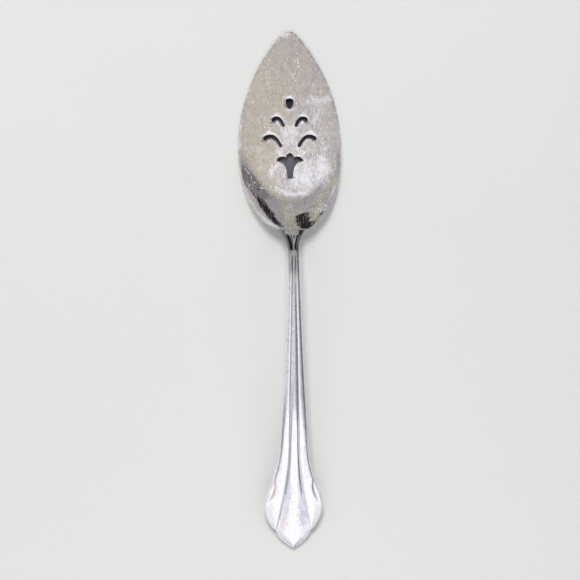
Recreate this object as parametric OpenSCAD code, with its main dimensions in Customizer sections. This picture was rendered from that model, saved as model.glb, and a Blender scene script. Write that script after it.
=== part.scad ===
// Pierced pie server in silver-plated nickel silver, lying face up on a table.
// A leaf-shaped blade with a dished back is brazed to a reeded handle at the neck.
// +Y points to the blade's tip, +Z up; the origin is under the middle of the whole length.

/* [Blade] */
// Length of the blade from its tip to the seam at the neck
blade_l = 100.5; // [85:0.5:120]
// Width of the blade at its widest
blade_w = 52.6; // [44:0.2:62]
// Distance from the tip back to the widest line
widest_from_tip = 60; // [52:1:66]
// Radius of the rounded tip
tip_r = 5.5; // [3:0.5:8]
// Thickness of the sheet
blade_t = 1.5; // [1.1:0.1:2.2]
// Thickness left at the bevelled edge
edge_t = 0.7; // [0.4:0.1:0.9]
// Width of the bevel along the edge
bevel_w = 1.3; // [0.8:0.1:2]

/* [Dish] */
// Height that the dish's wall reaches at the back of the blade
dish_h = 6.5; // [5:0.25:8]
// Share of the way to the rim where the wall begins to rise
dish_start = 0.5; // [0.4:0.02:0.56]
// How slowly the wall grows from the widest line towards the back
dish_fade = 1.2; // [1.1:0.1:2]
// Fullness of the back's outline, where 2 is an ellipse
back_fullness = 2.1; // [2:0.05:2.6]

/* [Piercing] */
// Distance from the tip to the top of the bud
bud_from_tip = 34.1; // [30:0.1:36]
// Length of the bud
bud_l = 5.3; // [4:0.1:7]
// Width of the bud
bud_w = 3.7; // [2.5:0.1:5]
// Distance from the tip to the crown of the upper leaves
upper_leaf_from_tip = 42.3; // [41:0.1:44]
// Height of an upper leaf
upper_leaf_h = 6.1; // [5:0.1:6.6]
// Distance from the middle to the root of an upper leaf
upper_leaf_root = 3.25; // [2.6:0.05:4]
// Distance from the middle to the head of an upper leaf
upper_leaf_reach = 9.2; // [8:0.1:11]
// Distance from the tip to the crown of the lower leaves
lower_leaf_from_tip = 50.9; // [50:0.1:52]
// Height of a lower leaf
lower_leaf_h = 7.7; // [6.5:0.1:8.2]
// Distance from the middle to the root of a lower leaf
lower_leaf_root = 4.7; // [4:0.1:5.5]
// Distance from the middle to the head of a lower leaf
lower_leaf_reach = 13.5; // [11.5:0.1:15]
// Width of the leaves' stroke at the head
leaf_stroke = 2.1; // [1.6:0.1:2.4]
// Width of the leaves' stroke at the root
leaf_root_stroke = 1.4; // [1:0.1:1.8]
// Distance from the tip to the top of the palmette
palmette_from_tip = 61.4; // [60.5:0.1:63]
// Length of the palmette
palmette_l = 13; // [10:0.2:14.5]
// Width of the palmette across its side lobes
palmette_w = 13.6; // [11:0.2:16]

/* [Joint at the neck] */
// Width of the neck where the blade's back edge meets it
seam_w = 14.2; // [12:0.2:16]
// Length of the tongue that laps under the blade
lap_l = 8; // [5:0.5:9.5]
// Width of the tongue
tongue_w = 10; // [7:0.5:11]
// Thickness of the tongue at the seam
tongue_t = 1.6; // [1.1:0.1:2]
// Thickness of the tongue at its front edge
tongue_tip_t = 0.6; // [0.3:0.1:0.8]
// Thickness of the brazing metal between tongue and blade
braze_t = 0.2; // [0.1:0.05:0.3]
// Step in the handle's back where the tongue begins
heel_step = 0.25; // [0.15:0.05:0.5]

/* [Handle] */
// Length of the handle from the seam to its end
handle_l = 159.5; // [140:0.5:180]
// Width of the stem at its narrowest
stem_w = 6.3; // [5:0.1:8]
// Distance from the seam over which the neck narrows to the stem
neck_l = 12; // [9:0.5:18]
// Radius of the neck's bend, seen from the side
neck_r = 45; // [36:1:55]
// Thickness of the stem
stem_t = 4; // [3.4:0.1:5]
// Thickness of the handle at its end
end_t = 2.2; // [1.6:0.1:3]
// Width of the stem where it begins to flare into the shield
flare_w = 13.8; // [11:0.2:17]
// Length of the flare from there to the widest line
flare_l = 38; // [28:0.5:46]
// Width of the shield at its widest
shield_w = 29.5; // [24:0.5:36]
// Distance from the handle's end to the shield's widest line
shield_from_end = 22; // [18:0.5:27]
// Width of the point between the two cusps
cusp_w = 17.6; // [12:0.2:22]
// Distance from the handle's end to the cusps
cusp_from_end = 9; // [6:0.5:12]
// Width of the rounded side edge along the stem
side_w = 0.9; // [0.5:0.1:1.2]
// Width of the bevel round the shield
rim_w = 1.3; // [0.8:0.1:1.8]
// Extra width of the bevelled ear at each shoulder of the shield
ear_w = 1.8; // [0.5:0.1:2.6]
// Length of an ear, ending at the widest line
ear_l = 13; // [9:0.5:16]
// Height that an ear's bead stands above the groove inside it
ear_h = 0.35; // [0.1:0.05:0.5]

/* [Reeding] */
// Width of the middle reed at the neck
reed_neck_w = 1.5; // [1:0.1:2.4]
// Width of the middle reed where the flare begins
reed_flare_w = 4.4; // [3.2:0.2:5.6]
// Height of the middle reed above its grooves
reed_h = 0.6; // [0.3:0.05:0.9]
// Height of the side reeds above the grooves
side_reed_h = 0.4; // [0.2:0.05:0.6]
// Fall from the grooves to the handle's side edges
side_drop = 0.45; // [0.2:0.05:0.8]
// Hollow of the back across its width
back_rise = 0.35; // [0:0.05:0.5]
// Depth of the two flutes on top of the neck
flute_h = 0.55; // [0.2:0.05:0.7]
// Width of a flute
flute_w = 2.2; // [1.6:0.1:2.6]
// Length of a flute
flute_l = 10; // [8:0.5:12]
// Share of the neck's widening that the flutes follow towards the blade
flute_spread = 0.9; // [0.6:0.05:0.95]

/* [Hidden] */

silver = "#c9c6c2";
bright_silver = "#d8d7da";
braze_metal = "#b9b2a4";

total_l = blade_l + handle_l;
tip_y = total_l / 2;
seam_y = tip_y - blade_l;
widest_y = tip_y - widest_from_tip;
half_w = blade_w / 2;
seam_half = seam_w / 2;
tongue_half = tongue_w / 2;
back_l = blade_l - widest_from_tip;
// Half length of the back's superellipse, which the seam cuts short
back_reach = back_l / pow(1 - pow(seam_half / half_w, back_fullness), 1 / back_fullness);
// Radius of the front edges, tangent to the rounded tip
front_l = widest_from_tip - tip_r;
front_r = (half_w * half_w + front_l * front_l - tip_r * tip_r) / (2 * (half_w - tip_r));
// Where the rounding meets the front edge: distance from the widest line, and angle at the tip's centre
front_end = front_r * front_l / (front_r - tip_r);
tip_angle = acos(front_l / (front_r - tip_r));

// How finely the surfaces are divided
tip_steps = 5;
front_steps = 14;
back_steps = 11;
lap_steps = 8;
panel_steps = 10;
wall_steps = 7;
neck_steps = 8;
bend_steps = 6;
stem_steps = 8;
flare_steps = 12;
shield_steps = 9;
point_steps = 8;
curve_steps = 10;
cap_steps = 5;
// Angle left flat at the tip, and share of the point's length, so that no face shrinks to nothing
tip_flat_angle = 4;
point_share = 0.985;
// Distance for measuring slopes
slope_step = 0.01;
// Room that a piercing tool passes beyond the sheet
pierce_over = 1;

function mix(a, b, s) = a + (b - a) * s;
function smooth01(s) = let (c = min(1, max(0, s))) c * c * (3 - 2 * c);
function bezier(p, c, q, s) = (1 - s) * (1 - s) * p + 2 * s * (1 - s) * c + s * s * q;

// The blade's surface: half width of its outline, and height of its underside

function front_half(ahead) = ahead > front_end
    ? sqrt(max(0, tip_r * tip_r - pow(ahead - front_l, 2)))
    : half_w - front_r + sqrt(front_r * front_r - ahead * ahead);
function back_half(behind) =
    half_w * pow(1 - pow(behind / back_reach, back_fullness), 1 / back_fullness);
function blade_half(y) = y >= widest_y ? front_half(y - widest_y) : back_half(widest_y - y);

function rim_share(x, behind) =
    pow(pow(abs(x) / half_w, back_fullness) + pow(behind / back_reach, back_fullness), 1 / back_fullness);
function lift(x, y) = let (behind = widest_y - y)
    behind <= 0 ? 0
    : let (wall = max(0, (rim_share(x, behind) - dish_start) / (1 - dish_start)))
      dish_h * wall * wall * pow(behind / back_reach, dish_fade);
// How much longer a vertical line through the sheet is than its thickness
function stretch(x, y) = let (
    along_x = (lift(x + slope_step, y) - lift(x - slope_step, y)) / (2 * slope_step),
    along_y = (lift(x, y + slope_step) - lift(x, y - slope_step)) / (2 * slope_step))
    sqrt(1 + along_x * along_x + along_y * along_y);
function blade_top(x, y) = lift(x, y) + blade_t * stretch(x, y);

// Stations along the blade, from its tip to the seam
function back_station(angle) = widest_y - back_reach * pow(sin(angle), 2 / back_fullness);
function back_angle(behind) = asin(pow(behind / back_reach, back_fullness / 2));
tip_stations = [for (i = [0:tip_steps])
    widest_y + front_l + tip_r * cos(mix(tip_flat_angle, tip_angle, i / tip_steps))];
front_stations = [for (i = [1:front_steps])
    widest_y + mix(front_end, 0, i / front_steps)];
back_stations = [for (i = [1:back_steps])
    back_station(back_angle(back_l - lap_l) * i / back_steps)];
lap_stations = [for (i = [0:lap_steps])
    back_station(mix(back_angle(back_l - lap_l), back_angle(back_l), i / lap_steps))];
blade_stations = concat(tip_stations, front_stations, back_stations,
    [for (i = [1:lap_steps]) lap_stations[i]]);

// Places across the blade at one station: a middle panel as wide as the tongue, walls and a bevel
function panel_half(half) = min(tongue_half, half * tongue_half / seam_half);
function bevel_at(half) = min(bevel_w, (half - panel_half(half)) / 2);
function blade_right(half) = let (panel = panel_half(half), inner = half - bevel_at(half))
    concat([for (j = [1:panel_steps]) panel * j / panel_steps],
        [for (j = [1:wall_steps]) mix(panel, inner, j / wall_steps)], [half]);
function both_sides(right) =
    concat([for (j = [len(right) - 1:-1:0]) -right[j]], [0], right);

// A ring of the loft is its upper row from left to right, then its lower row from right to left
function ring(upper, lower) = concat(upper, [for (j = [len(lower) - 1:-1:0]) lower[j]]);

// Loft through rings, with end caps strung between the upper and the lower row
module loft(rings) {
    count = len(rings[0]);
    row = count / 2;
    last = (len(rings) - 1) * count;
    sides = [for (i = [0:len(rings) - 2], j = [0:count - 1])
        let (a = i * count + j, b = i * count + (j + 1) % count, c = b + count, d = a + count)
        each j < row ? [[a, b, c], [a, c, d]] : [[a, b, d], [b, c, d]]];
    front = [for (j = [0:row - 2])
        let (a = j, b = j + 1, c = count - 2 - j, d = count - 1 - j) each [[a, d, c], [a, c, b]]];
    back = [for (j = [0:row - 2])
        let (a = last + j, b = a + 1, c = last + count - 2 - j, d = c + 1) each [[a, b, c], [a, c, d]]];
    polyhedron(points = [for (r = rings) each r], faces = concat(sides, front, back));
}

function blade_ring(y) =
    let (across = both_sides(blade_right(blade_half(y))), edge = len(across) - 1)
    ring([for (j = [0:edge]) let (x = across[j], thick = j == 0 || j == edge ? edge_t : blade_t)
            [x, y, lift(x, y) + thick * stretch(x, y)]],
        [for (x = across) [x, y, lift(x, y)]]);

// Outlines of the piercing, measured from the tip with the tip at the top

function mirrored(right) =
    concat(right, [for (i = [len(right) - 1:-1:0]) if (right[i][0] > 0) [-right[i][0], right[i][1]]]);
function curve(p, c, q) = [for (i = [0:curve_steps - 1]) bezier(p, c, q, i / curve_steps)];

module bud_outline() {
    top = [0, 0];
    belly = [bud_w / 2, -0.4 * bud_l];
    foot = [0, -bud_l];
    polygon(mirrored(concat(curve(top, [0.62 * bud_w, 0], belly),
        curve(belly, [0.43 * bud_w, -0.85 * bud_l], foot), [foot])));
}

// A curved leaf drawn as a tapering stroke from its drooping head to its root
module leaf_outline(root, reach, height) {
    head = [reach - leaf_stroke / 2, -0.43 * height];
    crown = [mix(root, reach, 0.4), 0];
    foot = [root, -height + leaf_root_stroke / 2];
    function middle(s) = bezier(head, crown, foot, s);
    function heading(s) = let (v = (1 - s) * (crown - head) + s * (foot - crown)) atan2(v[1], v[0]);
    function side(s, turn) = let (r = mix(leaf_stroke, leaf_root_stroke, s) / 2, a = heading(s) + turn)
        middle(s) + r * [cos(a), sin(a)];
    polygon(concat(
        [for (i = [0:curve_steps]) side(i / curve_steps, 90)],
        [for (i = [1:cap_steps - 1]) side(1, mix(90, -90, i / cap_steps))],
        [for (i = [curve_steps:-1:0]) side(i / curve_steps, -90)],
        [for (i = [1:cap_steps - 1]) side(0, mix(-90, -270, i / cap_steps))]));
}

module palmette_outline() {
    reach = palmette_w / 2;
    top = [0, 0];
    notch = [0.29 * reach, -0.19 * palmette_l];
    lobe = [reach, -0.31 * palmette_l];
    waist = [0.235 * reach, -0.76 * palmette_l];
    heel = [0.22 * reach, -0.92 * palmette_l];
    foot = [0, -palmette_l];
    polygon(mirrored(concat(
        curve(top, [0.23 * reach, -0.05 * palmette_l], notch),
        curve(notch, [0.72 * reach, -0.06 * palmette_l], lobe),
        curve(lobe, [0.33 * reach, -0.34 * palmette_l], waist),
        curve(waist, mix(waist, heel, 0.5), heel),
        curve(heel, [heel[0], foot[1]], foot), [foot])));
}

module piercing() {
    translate([0, tip_y, -pierce_over])
        linear_extrude(blade_t + 2 * pierce_over) {
            translate([0, -bud_from_tip]) bud_outline();
            for (side = [0, 1]) mirror([side, 0]) {
                translate([0, -upper_leaf_from_tip])
                    leaf_outline(upper_leaf_root, upper_leaf_reach, upper_leaf_h);
                translate([0, -lower_leaf_from_tip])
                    leaf_outline(lower_leaf_root, lower_leaf_reach, lower_leaf_h);
            }
            translate([0, -palmette_from_tip]) palmette_outline();
        }
}

module blade() {
    color(silver) difference() {
        loft([for (y = blade_stations) blade_ring(y)]);
        piercing();
    }
}

// The handle's back seen from the side: the neck's bend up to a crest, then one long bow to the end

seam_lift = lift(0, seam_y);
seam_stretch = stretch(0, seam_y);
neck_angle = acos(1 / seam_stretch);
tongue_drop = tongue_t * seam_stretch;
back_start_z = seam_lift - braze_t - tongue_drop - heel_step;
crest_at = neck_r * sin(neck_angle);
crest_z = back_start_z + neck_r * (1 - cos(neck_angle));
bow_l = handle_l - crest_at;
bow_r = (bow_l * bow_l + crest_z * crest_z) / (2 * crest_z);

function tilt(along) = along < crest_at
    ? asin(sin(neck_angle) - along / neck_r)
    : -asin((along - crest_at) / bow_r);
function back_z(along) = along < crest_at
    ? back_start_z + neck_r * (cos(tilt(along)) - cos(neck_angle))
    : crest_z - bow_r * (1 - cos(tilt(along)));

// Thickness, measured square to the handle, and the height of its top
seam_t = (blade_top(0, seam_y) - back_start_z) / seam_stretch;
function handle_t(along) = along < neck_l
    ? mix(seam_t, stem_t, smooth01(along / neck_l))
    : mix(stem_t, end_t, smooth01((along - neck_l) / (handle_l - neck_l)));
function top_z(along) = back_z(along) + handle_t(along) / cos(tilt(along));

// Half widths along the handle: of its outline, and of the middle reed between the grooves
stem_half = stem_w / 2;
flare_half = flare_w / 2;
shield_half = shield_w / 2;
cusp_half = cusp_w / 2;
shield_at = handle_l - shield_from_end;
flare_at = shield_at - flare_l;
cusp_at = handle_l - cusp_from_end;

// Shares of a half width along the flare, along a rounded lobe, and along the pointed one at the end
function flare_share(s) = mix(smooth01(pow(s, 1.8)), s, 0.3);
function lobe_share(s) = pow(1 - s * s, 0.75);
function point_width(s) = pow(1 - pow(point_share * s, 1.7), 0.9);
function handle_half(along) =
    along < neck_l ? mix(seam_half, stem_half, 1 - pow(1 - along / neck_l, 3))
    : along < flare_at ? mix(stem_half, flare_half, pow((along - neck_l) / (flare_at - neck_l), 1.75))
    : along < shield_at ? mix(flare_half, shield_half, flare_share((along - flare_at) / flare_l))
    : along < cusp_at ? mix(cusp_half, shield_half, lobe_share((along - shield_at) / (cusp_at - shield_at)))
    : cusp_half * point_width((along - cusp_at) / cusp_from_end);
function reed_half(along) =
    along < flare_at ? mix(reed_neck_w, reed_flare_w, max(0, along - neck_l) / (flare_at - neck_l)) / 2
    : along < cusp_at ? mix(reed_flare_w / 2, cusp_half, pow((along - flare_at) / (cusp_at - flare_at), 2.5))
    : handle_half(along);

// Width of the rounded border beside the reeds, which swells into an ear before the widest line
function swell(from, length, along) = sin(180 * min(1, max(0, (along - from) / length)));
function ear(along) = swell(shield_at - ear_l, ear_l, along);
function border(along) = mix(side_w, rim_w, smooth01((along - flare_at) / flare_l)) + ear_w * ear(along);

// Fall of the top below its middle line: a round middle reed, a groove, and a side reed on each side
function side_bump(v) = pow(v, 0.6) * (1 - v) / (pow(0.375, 0.6) * 0.625);
function reeding(x, half, reed) = abs(x) <= reed
    ? -reed_h * pow(x / reed, 2)
    : let (v = min(1, (abs(x) - reed) / (half - reed)))
      side_reed_h * side_bump(v) - side_drop * v * v - reed_h;

// Depth of the flutes, which run from the neck's sides down to the middle reed
function flute_at(along) = reed_neck_w / 2 + flute_w / 5 + flute_spread * (handle_half(along) - stem_half);
function flute(x, along) = let (t = min(1, abs(abs(x) - flute_at(along)) / (flute_w / 2)))
    flute_h * pow(cos(90 * t), 2) * swell(flute_w / 2, flute_l, along);

// Near the seam the section still follows the dish, and it turns into the reeded one along the neck
function from_seam(along) = smooth01(along / neck_l);
function handle_top(x, along) = let (half = handle_half(along), at_seam = min(seam_half, abs(x)))
    top_z(along) - flute(x, along) + mix(blade_top(at_seam, seam_y) - blade_top(0, seam_y),
        reeding(x, half, min(reed_half(along), half - side_w / 2)), from_seam(along));
function handle_back(x, along) = let (half = handle_half(along), at_seam = min(seam_half, abs(x)))
    back_z(along) + mix(lift(at_seam, seam_y) - lift(0, seam_y),
        back_rise * pow(x / half, 2), from_seam(along));

// Places across the handle at one station: the middle reed, a side reed, and the rounded side
reed_steps = 4;
side_places = [0.1, 0.3, 0.6, 1];
side_flat = 0.4;
bead_share = 0.45;
bead_fall = 0.11;
function handle_right(along) = let (half = handle_half(along), inner = half - min(border(along), half / 2),
    reed = min(reed_half(along), inner - side_w / 10))
    concat([for (j = [1:reed_steps]) reed * j / reed_steps],
        [for (v = side_places) mix(reed, inner, v)], [mix(inner, half, bead_share), half]);
// The border's top falls from a bead to the side, and an ear's bead stands up outside a groove
function handle_ring(along) = let (across = both_sides(handle_right(along)), edge = len(across) - 1,
    y = seam_y - along, shoulder = across[edge - 2],
    upper = handle_top(shoulder, along), lower = handle_back(shoulder, along),
    middle = (upper + lower) / 2, flat = side_flat * (upper - lower) / 2,
    border_tops = [middle + flat, mix(upper, middle + flat, bead_fall) + ear_h * ear(along) / 2,
        upper - ear_h * ear(along) / 2],
    border_backs = [middle - flat, mix(lower, middle - flat, bead_fall), lower])
    ring([for (j = [0:edge]) let (x = across[j], from_edge = min(j, edge - j))
            [x, y, from_edge < 3 ? border_tops[from_edge] : handle_top(x, along)]],
        [for (j = [0:edge]) let (x = across[j], from_edge = min(j, edge - j))
            [x, y, from_edge < 3 ? border_backs[from_edge] : handle_back(x, along)]]);

// The tongue and the brazing metal share the blade's own places, so the three meet face to face
tongue_across = both_sides([for (j = [1:panel_steps]) tongue_half * j / panel_steps]);
function under_blade(y, upper, lower) =
    ring([for (x = tongue_across) [x, y, lift(x, y) - upper]],
        [for (x = tongue_across) [x, y, lift(x, y) - lower]]);
function tongue_depth(y) =
    mix(tongue_drop, tongue_tip_t, (y - seam_y) / (lap_stations[0] - seam_y));

handle_stations = concat(
    [for (i = [0:neck_steps]) neck_l * i / neck_steps],
    [for (i = [1:bend_steps]) mix(neck_l, crest_at, i / bend_steps)],
    [for (i = [1:stem_steps]) mix(crest_at, flare_at, i / stem_steps)],
    [for (i = [1:flare_steps]) mix(flare_at, shield_at, i / flare_steps)],
    [for (i = [1:shield_steps]) mix(shield_at, cusp_at, sin(90 * i / shield_steps))],
    [for (i = [1:point_steps]) mix(cusp_at, handle_l, i / point_steps)]);

module handle() {
    color(bright_silver) loft(concat(
        [for (y = lap_stations) under_blade(y, braze_t, braze_t + tongue_depth(y))],
        [for (along = handle_stations) handle_ring(along)]));
}

module braze() {
    color(braze_metal) loft([for (y = lap_stations) under_blade(y, 0, braze_t)]);
}

blade();
handle();
braze();
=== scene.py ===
import math

import bpy
import numpy as np
from mathutils import Matrix, Vector
from mathutils.geometry import delaunay_2d_cdt


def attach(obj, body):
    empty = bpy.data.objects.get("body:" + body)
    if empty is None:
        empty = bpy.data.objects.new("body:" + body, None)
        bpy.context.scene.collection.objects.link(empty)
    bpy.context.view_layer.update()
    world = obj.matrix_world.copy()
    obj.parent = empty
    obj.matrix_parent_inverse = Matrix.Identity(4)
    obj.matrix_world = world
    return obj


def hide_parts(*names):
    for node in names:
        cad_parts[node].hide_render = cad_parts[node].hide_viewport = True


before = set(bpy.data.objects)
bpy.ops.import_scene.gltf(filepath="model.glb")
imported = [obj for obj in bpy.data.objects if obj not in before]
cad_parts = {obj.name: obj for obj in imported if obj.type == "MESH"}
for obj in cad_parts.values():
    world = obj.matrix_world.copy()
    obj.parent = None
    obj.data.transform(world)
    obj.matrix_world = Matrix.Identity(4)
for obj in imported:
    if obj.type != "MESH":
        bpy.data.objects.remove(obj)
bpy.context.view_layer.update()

# Blade. A leaf cut from rolled nickel-silver sheet, pierced in a press, its back half struck into
# a shallow dish, its edge bevelled, then silver plated. Years of use have scratched and hazed it.
MM = 0.001
blade_l, blade_w, widest_from_tip, tip_r, tip_trim = 100.5, 52.6, 60.0, 5.5, 0.02
blade_t, dish_h, dish_start, dish_fade, fullness = 1.5, 6.5, 0.5, 1.2, 2.1
seam_w, handle_l = 14.2, 159.5
tip_y = (blade_l + handle_l) / 2
seam_y = tip_y - blade_l
widest_y = tip_y - widest_from_tip
half_w, seam_half = blade_w / 2, seam_w / 2
back_l = blade_l - widest_from_tip
back_reach = back_l / (1 - (seam_half / half_w) ** fullness) ** (1 / fullness)
front_l = widest_from_tip - tip_r
front_r = (half_w ** 2 + front_l ** 2 - tip_r ** 2) / (2 * (half_w - tip_r))
tip_angle = math.acos(front_l / (front_r - tip_r))


def smooth(s):
    s = np.clip(s, 0, 1)
    return s * s * (3 - 2 * s)


def lift(x, y):
    """Height of the blade's underside in millimetres, which rises into the dish behind the widest line."""
    behind = np.maximum(0, widest_y - y) / back_reach
    rim = ((np.abs(x) / half_w) ** fullness + behind ** fullness) ** (1 / fullness)
    wall = np.maximum(0, (rim - dish_start) / (1 - dish_start))
    return dish_h * wall ** 2 * behind ** dish_fade


def slopes(x, y, step=0.01):
    return ((lift(x + step, y) - lift(x - step, y)) / (2 * step),
            (lift(x, y + step) - lift(x, y - step)) / (2 * step))


def stretch(x, y):
    along_x, along_y = slopes(x, y)
    return np.sqrt(1 + along_x ** 2 + along_y ** 2)


def even(points, spacing, closed=True):
    """The same path with its points evenly spaced."""
    points = np.asarray(points, float)
    if closed:
        points = np.vstack([points, points[:1]])
    run = np.concatenate([[0], np.cumsum(np.linalg.norm(np.diff(points, axis=0), axis=1))])
    count = max(8, round(run[-1] / spacing))
    places = np.linspace(0, run[-1], count if closed else count + 1, endpoint=not closed)
    return np.stack([np.interp(places, run, points[:, k]) for k in (0, 1)], 1)


def sideways(loop):
    """Unit vectors to the right of a closed path's direction, which point away from the metal."""
    along = np.roll(loop, -1, 0) - np.roll(loop, 1, 0)
    along /= np.linalg.norm(along, axis=1, keepdims=True)
    return np.stack([along[:, 1], -along[:, 0]], 1)


def inside(points, loop):
    """Which of the points lie inside a closed path."""
    x, y = points[:, :1], points[:, 1:]
    x0, y0 = loop[:, 0], loop[:, 1]
    x1, y1 = np.roll(x0, -1), np.roll(y0, -1)
    crosses = (y0 > y) != (y1 > y)
    with np.errstate(divide="ignore", invalid="ignore"):
        at = x0 + (y - y0) * (x1 - x0) / (y1 - y0)
    return (crosses & (x < at)).sum(1) % 2 == 1


def bezier(p, c, q, count=24):
    """A curve from p to q that bends toward c, without its last point."""
    s = np.linspace(0, 1, count, endpoint=False)[:, None]
    return (1 - s) ** 2 * np.array(p) + 2 * s * (1 - s) * np.array(c) + s ** 2 * np.array(q)


def mirrored(right):
    """A closed path from the curves of its right half."""
    right = np.vstack(right)
    return np.vstack([right, (right * [-1, 1])[::-1]])


turn = np.linspace(math.asin((back_l / back_reach) ** (fullness / 2)), 0, 120)
back_edge = np.stack([half_w * np.cos(turn) ** (2 / fullness),
                      widest_y - back_reach * np.sin(turn) ** (2 / fullness)], 1)
turn = np.linspace(0, math.asin(front_l / (front_r - tip_r)), 120)
front_edge = np.stack([half_w - front_r + front_r * np.cos(turn), widest_y + front_r * np.sin(turn)], 1)
turn = np.linspace(tip_angle, 0, 40)
tip_top = np.minimum(widest_y + front_l + tip_r * np.cos(turn), tip_y - tip_trim)
tip_edge = np.stack([tip_r * np.sin(turn), tip_top], 1)
edge_step, hole_step = 0.6, 0.22
side = even(np.vstack([back_edge, front_edge[1:], tip_edge[1:]]), edge_step, closed=False)
seam_x = np.linspace(-seam_half, seam_half, 25)[1:-1]
seam_edge = np.stack([seam_x, np.full(len(seam_x), seam_y)], 1)
outline = np.vstack([side, (side[:-1] * [-1, 1])[::-1], seam_edge])


def leaf(root, reach, height, stroke=2.1, root_stroke=1.4, head_drop=0.43, crown_share=0.4, steps=40):
    """A curved leaf, drawn as a tapered stroke from its outer head over the crown to its foot."""
    head = np.array([reach - stroke / 2, -head_drop * height])
    crown = np.array([root + crown_share * (reach - root), 0])
    foot = np.array([root, -height + root_stroke / 2])
    s = np.linspace(0, 1, steps)[:, None]
    middle = (1 - s) ** 2 * head + 2 * s * (1 - s) * crown + s ** 2 * foot
    heading = (1 - s) * (crown - head) + s * (foot - crown)
    heading = np.arctan2(heading[:, 1], heading[:, 0])
    radius = (stroke + (root_stroke - stroke) * s[:, 0]) / 2

    def edge(i, turn):
        return middle[i] + radius[i] * np.array([math.cos(heading[i] + turn), math.sin(heading[i] + turn)])
    left, right, cap = math.pi / 2, -math.pi / 2, np.linspace(0, math.pi, 14)[1:-1]
    return np.array([edge(i, left) for i in range(steps)] + [edge(steps - 1, left - a) for a in cap]
                    + [edge(i, right) for i in reversed(range(steps))] + [edge(0, right - a) for a in cap])


bud = mirrored([bezier((0, 0), (2.29, 0), (1.85, -2.12)), bezier((1.85, -2.12), (1.59, -4.5), (0, -5.3))])
palmette = mirrored([
    bezier((0, 0), (1.56, -0.65), (1.97, -2.47)), bezier((1.97, -2.47), (4.9, -0.78), (6.8, -4.03)),
    bezier((6.8, -4.03), (2.24, -4.42), (1.6, -9.88)), bezier((1.6, -9.88), (1.55, -10.9), (1.5, -11.96)),
    bezier((1.5, -11.96), (1.5, -13), (0, -13))])
upper_leaf, lower_leaf = leaf(3.25, 9.2, 6.1), leaf(4.7, 13.5, 7.7)
holes = []
for shape, from_tip in ((bud, 34.1), (upper_leaf, 42.3), (upper_leaf * [-1, 1], 42.3), (lower_leaf, 50.9),
                        (lower_leaf * [-1, 1], 50.9), (palmette, 61.4)):
    hole = even(shape + [0, tip_y - from_tip], hole_step)
    area = np.cross(hole, np.roll(hole, -1, 0)).sum()
    holes.append(hole[::-1] if area > 0 else hole)

# Edges as distance into the metal and height above the underside, from the top face round to the bottom
rim_profile = [(1.6, 1.5), (1.3, 1.5), (1.12, 1.485), (0.9, 1.43), (0.65, 1.31), (0.42, 1.15), (0.22, 0.98),
               (0.08, 0.82), (0, 0.66), (0, 0.2), (0.05, 0.07), (0.16, 0), (1.6, 0)]
hole_profile = [(1.6, 1.5), (1.35, 1.49), (1.1, 1.465), (0.85, 1.428), (0.62, 1.382), (0.42, 1.33),
                (0.25, 1.27), (0.12, 1.205), (0.03, 1.13), (0, 1.05), (0, 0.6), (0, 0.15), (0.05, 0.04),
                (0.14, 0), (1.6, 0)]
upright = range(8, 13)  # the steps of hole_profile that make its wall
# The bevel is narrow by the seam and widens toward the front
rim_width = 0.12 + 0.43 * smooth((outline[:, 1] - seam_y) / 6) + 0.45 * smooth((outline[:, 1] - 45) / 30)
edges = [(outline, sideways(outline), rim_width, rim_profile)]
# The punch rolls each hole's top edge over, less where metal juts in and hardly at all at sharp corners
for hole in holes:
    ahead = np.roll(hole, -4, 0) - hole
    before = hole - np.roll(hole, 4, 0)
    lengths = np.linalg.norm(ahead, axis=1) * np.linalg.norm(before, axis=1)
    bend = (ahead * before).sum(1) / lengths
    closing = (before[:, 0] * ahead[:, 1] - before[:, 1] * ahead[:, 0]) / lengths
    roll_over = np.where(closing > 0.03, 0.45, 1.0)
    roll_over = np.where(bend < 0.6, 0.1, roll_over)
    for _ in range(20):
        roll_over = np.minimum(roll_over, np.minimum(np.roll(roll_over, 1), np.roll(roll_over, -1)) + 0.07)
    edges.append((hole, sideways(hole), roll_over, hole_profile))

borders = [loop - away * (width * profile[0][0])[:, None] for loop, away, width, profile in edges]
rows, columns, stagger = np.arange(seam_y, tip_y, 0.75), np.arange(-26.5, 26.6, 0.85), 0.42
grid = np.vstack([np.stack([columns + stagger * (i % 2), np.full(len(columns), y)], 1)
                  for i, y in enumerate(rows)])
grid = grid[inside(grid, borders[0])]
for border in borders[1:]:
    grid = grid[~inside(grid, border)]
edge_points = np.vstack(borders)
near = np.array([np.min((edge_points[:, 0] - x) ** 2 + (edge_points[:, 1] - y) ** 2) for x, y in grid])
grid = grid[near > 0.16]  # 0.4 mm clear of every edge
links, start = [], 0
for border in borders:
    links += [(start + i, start + (i + 1) % len(border)) for i in range(len(border))]
    start += len(border)
flat = np.vstack([edge_points, grid])
found, _, faces, came_from, _, _ = delaunay_2d_cdt([Vector(p) for p in flat], links, [], 0, 1e-6)
found = np.array([tuple(p) for p in found])
place = {old: new for new, olds in enumerate(came_from) for old in olds}
middles = np.array([found[list(f)].mean(0) for f in faces])
keep = inside(middles, borders[0])
for border in borders[1:]:
    keep &= ~inside(middles, border)
sheet = [tuple(f) for f, k in zip(faces, keep) if k]

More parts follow.
